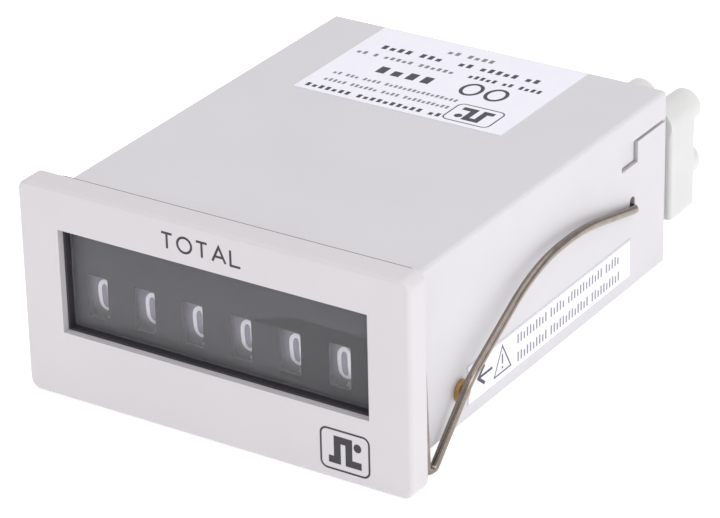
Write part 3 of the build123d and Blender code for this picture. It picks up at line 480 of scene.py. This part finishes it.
def lay_patch(bm, outline, to_space, low, high):
    """Adds a filled outline as a closed thin solid."""
    top = [bm.verts.new(to_space(x, y, high)) for x, y in outline]
    bottom = [bm.verts.new(to_space(x, y, low)) for x, y in outline]
    bm.faces.new(top)
    bm.faces.new(reversed(bottom))
    for i in range(len(outline)):
        k = (i + 1) % len(outline)
        bm.faces.new((top[k], top[i], bottom[i], bottom[k]))


def make_piece(name, bm, material, body):
    """Turns a bmesh into a named piece that rides on a body."""
    bmesh.ops.recalc_face_normals(bm, faces=bm.faces)
    mesh = bpy.data.meshes.new(name)
    bm.to_mesh(mesh)
    bm.free()
    mesh.materials.append(material)
    piece = bpy.data.objects.new(name, mesh)
    bpy.context.scene.collection.objects.link(piece)
    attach(piece, body)
    return piece


# %% [markdown]
# ## The numerals
#
# Ten numerals run round each drum. They are tall and narrow with round shoulders. Each
# one is drawn once, as strokes on a grid one unit wide and two high, so that a change
# of size or of pen needs no new drawing.

# %% Numeral shapes
def stadium(cx, cy, half_width, half_height, shoulder):
    """A closed upright ring: straight sides and round ends."""
    up, down = cy + half_height - shoulder, cy - half_height + shoulder
    return (arc(cx, up, half_width, shoulder, 0, 180, 12)
            + arc(cx, down, half_width, shoulder, 180, 360, 12))


numeral_strokes = {
    0: [(stadium(0.5, 1.0, 0.5, 1.0, 0.5), True)],
    1: [([(0.2, 1.62), (0.55, 1.98), (0.55, 0.0)], False)],
    2: [(arc(0.5, 1.48, 0.5, 0.52, 172, -38) + [(0.0, 0.0), (1.02, 0.0)], False)],
    3: [(arc(0.47, 1.5, 0.45, 0.5, 150, -82) + arc(0.5, 0.52, 0.5, 0.52, 80, -150), False)],
    4: [([(0.74, 0.0), (0.74, 2.0), (0.0, 0.6), (1.04, 0.6)], False)],
    5: [([(0.92, 2.0), (0.16, 2.0), (0.08, 1.1)] + arc(0.5, 0.6, 0.5, 0.6, 128, -150), False)],
    6: [(stadium(0.5, 0.58, 0.5, 0.58, 0.5), True),
        (arc(0.86, 0.75, 0.86, 1.25, 180, 98), False)],
    7: [([(0.0, 2.0), (1.0, 2.0), (0.36, 0.0)], False)],
    8: [(stadium(0.5, 1.5, 0.43, 0.5, 0.42), True),
        (stadium(0.5, 0.5, 0.5, 0.5, 0.44), True)],
    9: [(stadium(0.5, 1.42, 0.5, 0.58, 0.5), True),
        (arc(0.14, 1.25, 0.86, 1.25, 0, -82), False)],
}
print("numerals drawn:", len(numeral_strokes))

# %% [markdown]
# ## Ink on the drums
#
# The numerals are pad printed, 36 degrees apart. A flat piece of type would stand off
# a round drum, so each stroke is bent round it: the height on paper becomes an angle
# on the drum. Counting up brings the next numeral from below, so the numerals rise in
# value going down the face that the reader sees. Pad printing never lands quite in
# the middle of a rim, so each drum has its own small shift.

# %% Wrap the numerals round the drums
numeral_width = 1.4 * MM
numeral_height = 3.85 * MM
numeral_pen = 0.53 * MM
ink_sunk = 0.01 * MM                   # ink reaches this far into the surface it lies on
ink_proud = 0.02 * MM
layer = 0.002 * MM                     # between one stroke and the next
finest_step = 0.4 * MM
rim_tolerance = 0.02 * MM
numeral_turn = 360 // len(numeral_strokes)
reading_line = -0.65 * MM              # the numeral being read is centred below the axle
print_shift_mm = {
    "units_drum": -0.18, "tens_drum": 0.05, "hundreds_drum": 0.1,
    "thousands_drum": 0.15, "ten_thousands_drum": 0.2, "hundred_thousands_drum": 0.1,
}


def close_spaced(stroke, closed):
    """The stroke with extra points, so that long straight runs can bend round a drum."""
    ends = stroke[1:] + stroke[:1] if closed else stroke[1:]
    out = []
    for (x0, y0), (x1, y1) in zip(stroke, ends):
        parts = max(1, math.ceil(math.hypot(x1 - x0, y1 - y0) / finest_step))
        out += [(x0 + (x1 - x0) * i / parts, y0 + (y1 - y0) * i / parts) for i in range(parts)]
    return out if closed else out + [stroke[-1]]


def rim_middle_of(drum):
    """The middle of the drum's printed rim, from the vertices on its outer radius."""
    outer = [v.co.x for v in nodes[drum].data.vertices
             if math.hypot(v.co.y - axle_y, v.co.z) > drum_radius - rim_tolerance]
    return (min(outer) + max(outer)) / 2


def numerals_for(drum):
    """All ten numerals of one drum, as one piece on that drum's body."""
    middle = rim_middle_of(drum) + print_shift_mm[drum] * MM
    bm = bmesh.new()
    for value, strokes in numeral_strokes.items():
        turn = math.radians(numeral_turn * value)

        def on_drum(x, y, height):
            angle = (y + reading_line) / drum_radius - turn
            radius = drum_radius + height
            return Vector((middle + x, axle_y - radius * math.cos(angle),
                           radius * math.sin(angle)))

        for order, (stroke, closed) in enumerate(strokes):
            scaled = [((x - 0.5) * numeral_width, (y / 2 - 0.5) * numeral_height)
                      for x, y in stroke]
            lay_ribbon(bm, close_spaced(scaled, closed), numeral_pen, on_drum, -ink_sunk,
                       ink_proud + layer * order, closed)
    return make_piece(drum.replace("drum", "numerals"), bm, numeral_ink, drum)


for drum in sorted(n for n in nodes if n.endswith("_drum")):
    made = numerals_for(drum)
    print(made.name, len(made.data.polygons), "faces")

# %% [markdown]
# ## The print on the bezel
#
# A short word stands above the window, screen printed in dark grey. It is drawn as
# the numerals are, with a finer pen and wide open letters.

# %% The word above the window
bezel_face = bezel_low.y
print_proud = 0.006 * MM
letter_breadth = 0.78                  # of the letter height, for one unit of the grid


def on_bezel(x, y, height):
    return Vector((x, bezel_face - height, y))


letter_strokes = {
    "T": (1.0, [([(0, 2), (1, 2)], False), ([(0.5, 2), (0.5, 0)], False)]),
    "O": (1.3, [(arc(0.65, 1, 0.65, 1, 0, 346, 25), True)]),
    "A": (1.2, [([(0, 0), (0.6, 2), (1.2, 0)], False), ([(0.2, 0.68), (1.0, 0.68)], False)]),
    "L": (0.9, [([(0, 2), (0, 0), (0.9, 0)], False)]),
}


def word_piece(name, word, middle_x, base_z, letter_height, width, line):
    """A word spread evenly over a width, drawn with one pen."""
    grid = letter_height / 2
    broad = letter_breadth * letter_height
    total = sum(letter_strokes[c][0] for c in word) * broad
    gap = (width - total) / (len(word) - 1)
    x0 = middle_x - width / 2
    bm = bmesh.new()
    for c in word:
        letter_width, strokes = letter_strokes[c]
        for order, (stroke, closed) in enumerate(strokes):
            placed = [(x0 + x * broad, base_z + y * grid) for x, y in stroke]
            lay_ribbon(bm, placed, line, on_bezel, -ink_sunk, print_proud + layer * order,
                       closed)
        x0 += letter_width * broad + gap
    return make_piece(name, bm, screen_ink, "case")


front_word = word_piece("front_word", "TOTAL", middle_x=-0.95 * MM, base_z=10.25 * MM,
                        letter_height=1.95 * MM, width=11.1 * MM, line=0.31 * MM)
print(front_word.name, len(front_word.data.polygons), "faces")

# %% [markdown]
# ## The boxed mark
#
# Below the window on the right stands a plain sign of this notebook's own: a square
# pulse, which is what such a counter counts, inside a rounded box. One function draws
# it, because the sticker on top carries the same sign.

# %% The boxed pulse mark
corner_share = 0.13                    # of the box's width


def rounded_box(x0, x1, z0, z1, radius):
    """A closed outline with round corners."""
    x0, x1 = min(x0, x1), max(x0, x1)
    z0, z1 = min(z0, z1), max(z0, z1)
    corners = ((x1 - radius, z1 - radius, 0), (x0 + radius, z1 - radius, 90),
               (x0 + radius, z0 + radius, 180), (x1 - radius, z0 + radius, 270))
    return [p for cx, cz, a in corners for p in arc(cx, cz, radius, radius, a, a + 90, 6)]


def pulse_mark(name, x0, x1, z0, z1, to_space, ink, line, bold, body):
    """A rounded box round a bold square pulse."""
    bm = bmesh.new()
    lay_ribbon(bm, rounded_box(x0, x1, z0, z1, corner_share * abs(x1 - x0)), line, to_space,
               -ink_sunk, print_proud, True)
    wide, tall = x1 - x0, z1 - z0
    shape = [(0.16, 0.24), (0.34, 0.24), (0.34, 0.76), (0.58, 0.76), (0.58, 0.24),
             (0.84, 0.24)]
    pulse = [(x0 + wide * u, z0 + tall * v) for u, v in shape]
    lay_ribbon(bm, pulse, bold, to_space, -ink_sunk, print_proud)
    dot = [(x0 + wide * u, z0 + tall * v) for u, v in ellipse(0.76, 0.68, 0.08, 0.11)]
    lay_patch(bm, dot, to_space, -ink_sunk, print_proud)
    return make_piece(name, bm, ink, body)


front_mark = pulse_mark("front_mark", 15.05 * MM, 21.7 * MM, -12.7 * MM, -7.45 * MM,
                        on_bezel, screen_ink, line=0.26 * MM, bold=0.95 * MM,
                        body="case")
print(front_mark.name, len(front_mark.data.polygons), "faces")

# %% [markdown]
# ## The rating sticker on top
#
# Real lettering this small reads as grey texture, and what it says belongs to nobody
# here. So each line of print is a row of small bars with the lengths of words, which
# the eye takes for print.

# %% Rows of word bars
sticker_top = rating_high.z
short_letter = 0.74                    # height of a small letter beside a tall one
word_space = 0.8                       # in letters


def on_rating(x, y, height):
    return Vector((x, y, sticker_top + height))


def word_bars(bm, words, start, row, letter, height, to_space, heading=1, fill=0.58):
    """A row of words: every letter is a small upright bar, and words are parted."""
    at = start
    for count in words:
        for k in range(count):
            tall = height * (1.0 if (k * 7 + count) % 3 else short_letter)   # every third
            x0, x1 = at, at + heading * letter * fill
            lay_patch(bm, [(min(x0, x1), row), (max(x0, x1), row), (max(x0, x1), row + tall),
                           (min(x0, x1), row + tall)], to_space, -ink_sunk, print_proud)
            at += heading * letter
        at += heading * letter * word_space


print("sticker top at z", round(sticker_top / MM, 2), "mm")

# %% [markdown]
# ## Lines, mark and rings on top
#
# The sticker is read from behind the counter, so its lines run from right to left and
# its boxed mark sits at the front right corner. Bold lines and fine lines are two
# pieces, because they are two inks. Two bold rings stand for approval marks.

# %% Print the rating sticker
def rating_lines(name, rows, ink):
    """Rows of (letters per word, start, front edge, letter width, letter height) in mm."""
    bm = bmesh.new()
    for words, start, row, letter, height in rows:
        word_bars(bm, words, start * MM, row * MM, letter * MM, height * MM, on_rating, -1)
    return make_piece(name, bm, ink, "case")


bold_lines = rating_lines("rating_print_bold", [
    ([2, 10, 7], 4.2, 40.7, 0.98, 1.0), ([4], -2.2, 48.6, 2.2, 2.0),
    ([2, 5, 2], 9.8, 55.5, 1.15, 1.2), ([3, 4], -4.6, 55.4, 1.2, 1.2),
    ([4, 2, 5], 11.6, 52.9, 0.86, 1.0)], sticker_ink)
fine_lines = rating_lines("rating_print_fine", [
    ([10, 4, 6, 5], 3.9, 43.3, 0.68, 0.85), ([16, 4, 3, 2], 3.8, 45.6, 0.68, 0.8),
    ([6, 5, 1, 2], -1.2, 52.8, 0.9, 0.9), ([4, 2], 1.6, 58.2, 1.05, 1.0)], fine_ink)

pulse_mark("rating_mark", 11.2 * MM, 4.6 * MM, 45.7 * MM, 40.7 * MM, on_rating,
           sticker_ink, 0.2 * MM, 0.85 * MM, "case")

bm = bmesh.new()
for ring_x in (3.6 * MM, 7.2 * MM):
    lay_ribbon(bm, ellipse(ring_x, 49.9 * MM, 1.3 * MM, 1.7 * MM), 0.5 * MM, on_rating,
               -ink_sunk, print_proud, True)
make_piece("rating_rings", bm, sticker_ink, "case")
print("rating print:", len(bold_lines.data.polygons) + len(fine_lines.data.polygons), "faces")

# %% [markdown]
# ## Arrow and triangle on the side
#
# A long sticker under the wire points at the locking pin with an arrow. Beside the
# arrow stands a plain triangle of the sort used everywhere for "take care". Both are
# pen strokes, the arrow's head a shade thicker than its shaft.

# %% Draw the arrow and the triangle
side_face = side_high.x
arrow_z = -7.45 * MM
arrow_tip, arrow_barb, arrow_tail = 15.6 * MM, 17.1 * MM, 18.9 * MM
triangle_y = 21.25 * MM


def on_side(y, z, height):
    return Vector((side_face + height, y, z))


bm = bmesh.new()
lay_ribbon(bm, [(arrow_tail, arrow_z), (15.75 * MM, arrow_z)], 0.34 * MM, on_side,
           -ink_sunk, print_proud)
lay_ribbon(bm, [(arrow_barb, -6.2 * MM), (arrow_tip, arrow_z), (arrow_barb, -8.7 * MM)],
           0.42 * MM, on_side, -ink_sunk, print_proud + layer)
make_piece("side_arrow", bm, sticker_ink, "case")

bm = bmesh.new()
lay_ribbon(bm, [(19.3 * MM, -9.1 * MM), (23.2 * MM, -9.1 * MM), (triangle_y, -5.6 * MM)],
           0.2 * MM, on_side, -ink_sunk, print_proud, True)
lay_ribbon(bm, [(triangle_y, -6.7 * MM), (triangle_y, -8.0 * MM)], 0.26 * MM, on_side,
           -ink_sunk, print_proud)
lay_patch(bm, ellipse(triangle_y, -8.5 * MM, 0.17 * MM, 0.17 * MM), on_side,
          -ink_sunk, print_proud)
make_piece("side_triangle", bm, sticker_ink, "case")
print("side face at x", round(side_face / MM, 2), "mm")

# %% [markdown]
# ## Small print on the side
#
# Two rows of small print follow, again as word bars, with narrow letters so that they
# stay grey. A hairline just inside the edge frames the sticker. It follows the
# sticker's own box, so it stays true if the sticker changes size.

# %% Print the side rows and the frame
bm = bmesh.new()
for words, row in (([10, 5, 12, 5], -6.95 * MM), ([10, 13, 10], -9.35 * MM)):
    word_bars(bm, words, 24.8 * MM, row, 0.74 * MM, 1.25 * MM, on_side, fill=0.42)
frame_inset = 0.12 * MM
near, far = side_low.y + frame_inset, side_high.y - frame_inset
foot, head = side_low.z + frame_inset, side_high.z - frame_inset
lay_ribbon(bm, [(near, foot), (far, foot), (far, head), (near, head)], 0.07 * MM, on_side,
           -ink_sunk, print_proud - layer, True)
side_print = make_piece("side_print", bm, fine_ink, "case")
print(side_print.name, len(side_print.data.polygons), "faces")

# %% [markdown]
# ## The camera
#
# The camera stands to the right, in front and above, far away on a long lens, as a
# product photographer sets it to keep the verticals calm. It is placed by azimuth and
# elevation round a point inside the body. The counter leans back a little on the
# table, which shows as a slight roll in the counter's own frame.

# %% Place the camera
azimuth = math.radians(33.19)
elevation = math.radians(26.42)
roll = math.radians(-1.31)
distance = 0.42503                     # metres
aim = Vector((11.35, 11.44, 6.76)) * MM

back = Vector((math.sin(azimuth) * math.cos(elevation),
               -math.cos(azimuth) * math.cos(elevation), math.sin(elevation)))
level = Vector((math.cos(azimuth), math.sin(azimuth), 0))
upright = back.cross(level)
right = level * math.cos(roll) + upright * math.sin(roll)
up = upright * math.cos(roll) - level * math.sin(roll)

camera_data = bpy.data.cameras.new("camera")
camera_data.lens = 180.7               # mm
camera_data.sensor_width = 36          # mm
camera_data.clip_start = 0.01          # metres
camera = bpy.data.objects.new("camera", camera_data)
turned = Matrix((right, up, back)).transposed().to_4x4()
camera.matrix_world = Matrix.Translation(aim + back * distance) @ turned
bpy.context.scene.collection.objects.link(camera)
bpy.context.scene.camera = camera
print("camera at", [round(c / MM, 1) for c in camera.location])

# %% [markdown]
# ## The table
#
# The bezel is taller than the housing, so on a table the counter rests on the bezel's
# lower edge and on the housing's rear edge, and leans back by about two degrees. The
# table is a wide plane through those two edges: a light table of opal acrylic that
# glows from below, so that the counter's own shadow on it nearly vanishes.

# %% Light table
lean = math.atan2(housing_low.z - bezel_low.z, housing_high.y)
half_table = 3.0                       # metres
bm = bmesh.new()
for x, y in ((-1, -1), (1, -1), (1, 1), (-1, 1)):
    bm.verts.new((x * half_table, y * half_table * math.cos(lean),
                  bezel_low.z + y * half_table * math.sin(lean)))
bm.faces.new(bm.verts)
table_mesh = bpy.data.meshes.new("table")
bm.to_mesh(table_mesh)
bm.free()
table = bpy.data.objects.new("table", table_mesh)
bpy.context.scene.collection.objects.link(table)
table_finish, tree = new_material("backlit_opal_acrylic")
place = add(tree, "ShaderNodeTexCoord").outputs["Object"]
mottle = add(tree, "ShaderNodeTexNoise", {"Vector": place, "Scale": per_metre(40.0)})
tone = add(tree, "ShaderNodeMix", {"Factor": mottle.outputs["Fac"]}, data_type="RGBA")
tone.inputs["A"].default_value = linear("#FCFCFD")
tone.inputs["B"].default_value = linear("#F9F9FA")
lit = add(tree, "ShaderNodeBsdfDiffuse", {"Color": tone.outputs["Result"]})
glow = add(tree, "ShaderNodeEmission", {"Color": tone.outputs["Result"], "Strength": 0.4})
both = add(tree, "ShaderNodeAddShader", {0: lit.outputs[0], 1: glow.outputs[0]})
finish_material(tree, both)
table_mesh.materials.append(table_finish)
print("lean", round(math.degrees(lean), 2), "degrees")

# %% [markdown]
# ## The sky
#
# White plastic on a white table needs light from all round, so that no side turns
# grey, and a pale sky gives that. The sky that the camera sees is white. The sky that
# lights the scene is a little darker, so that the metal keeps its contrast.

# %% Sky
world = bpy.data.worlds.new("studio")
bpy.context.scene.world = world
world.use_nodes = True
tree = world.node_tree
tree.nodes.clear()
seen = add(tree, "ShaderNodeLightPath").outputs["Is Camera Ray"]
lighting = add(tree, "ShaderNodeBackground", {"Color": linear("#FBF9FC"), "Strength": 0.64})
backdrop = add(tree, "ShaderNodeBackground", {"Color": linear("#FFFFFF"), "Strength": 1.0})
sky = add(tree, "ShaderNodeMixShader", {0: seen, 1: lighting.outputs[0],
                                        2: backdrop.outputs[0]})
add(tree, "ShaderNodeOutputWorld", {"Surface": sky.outputs[0]})
print("sky:", world.name)

# %% [markdown]
# ## Soft panels
#
# Large soft panels do the rest: just enough more light from the right to part the side
# wall from the front, and something bright for the wire to mirror. Area lamps are used
# because their soft edges leave soft shadows, as a photographer's diffusers do.

# %% Soft panels
def panel(name, place, size, watts):
    """A square soft panel that faces the counter and stays out of the picture."""
    data = bpy.data.lights.new(name, "AREA")
    data.size = size
    data.energy = watts
    lamp = bpy.data.objects.new(name, data)
    lamp.location = place
    lamp.rotation_euler = (aim - lamp.location).to_track_quat("-Z", "Y").to_euler()
    lamp.visible_camera = False
    bpy.context.scene.collection.objects.link(lamp)


panel("top_panel", Vector((0.1, 0.3, 1.1)), size=1.2, watts=4.2)
panel("right_panel", Vector((1.1, -0.1, 0.6)), size=0.9, watts=5.2)
panel("front_panel", Vector((-0.2, -0.8, 1.0)), size=0.8, watts=3.45)

bpy.context.scene.view_settings.view_transform = "Standard"
print("lights set")
